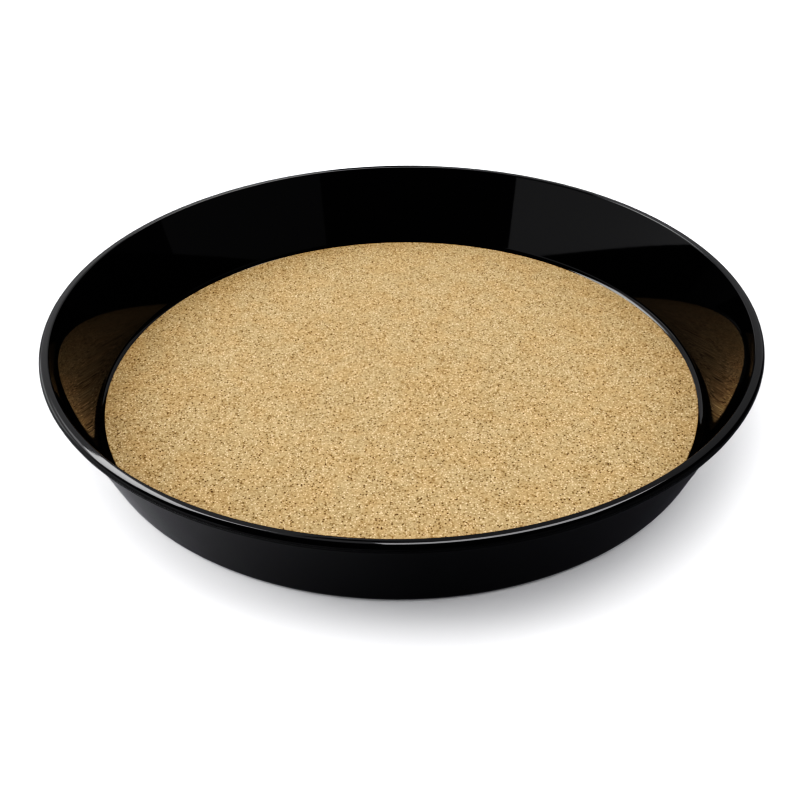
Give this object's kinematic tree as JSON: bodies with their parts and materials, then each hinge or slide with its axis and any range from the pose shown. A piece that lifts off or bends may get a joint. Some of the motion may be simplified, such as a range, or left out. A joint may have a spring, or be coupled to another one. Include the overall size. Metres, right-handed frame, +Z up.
{
  "type": "cork lined serving tray",
  "caption": "Round black moulded serving tray with a flared wall, a beaded lip and a bonded disc of fine agglomerated cork that stops glasses from sliding.",
  "frame": {"origin": "centre of the base, on the surface that the tray stands on", "axes": "+Z up along the tray's axis, out of its open side; +X and +Y lie in the standing surface, and +Y points away from the viewer of the front"},
  "size_m": [0.356, 0.356, 0.05],
  "materials": {
    "shell": "polished black moulding",
    "cork": "matte agglomerated cork of fine light grains with darker specks",
    "adhesive": "thin translucent bonding film"
  },
  "bodies": {
    "root": {"tray_shell": "shell", "cork_mat": "cork", "adhesive_sheet": "adhesive"}
  },
  "joints": []
}
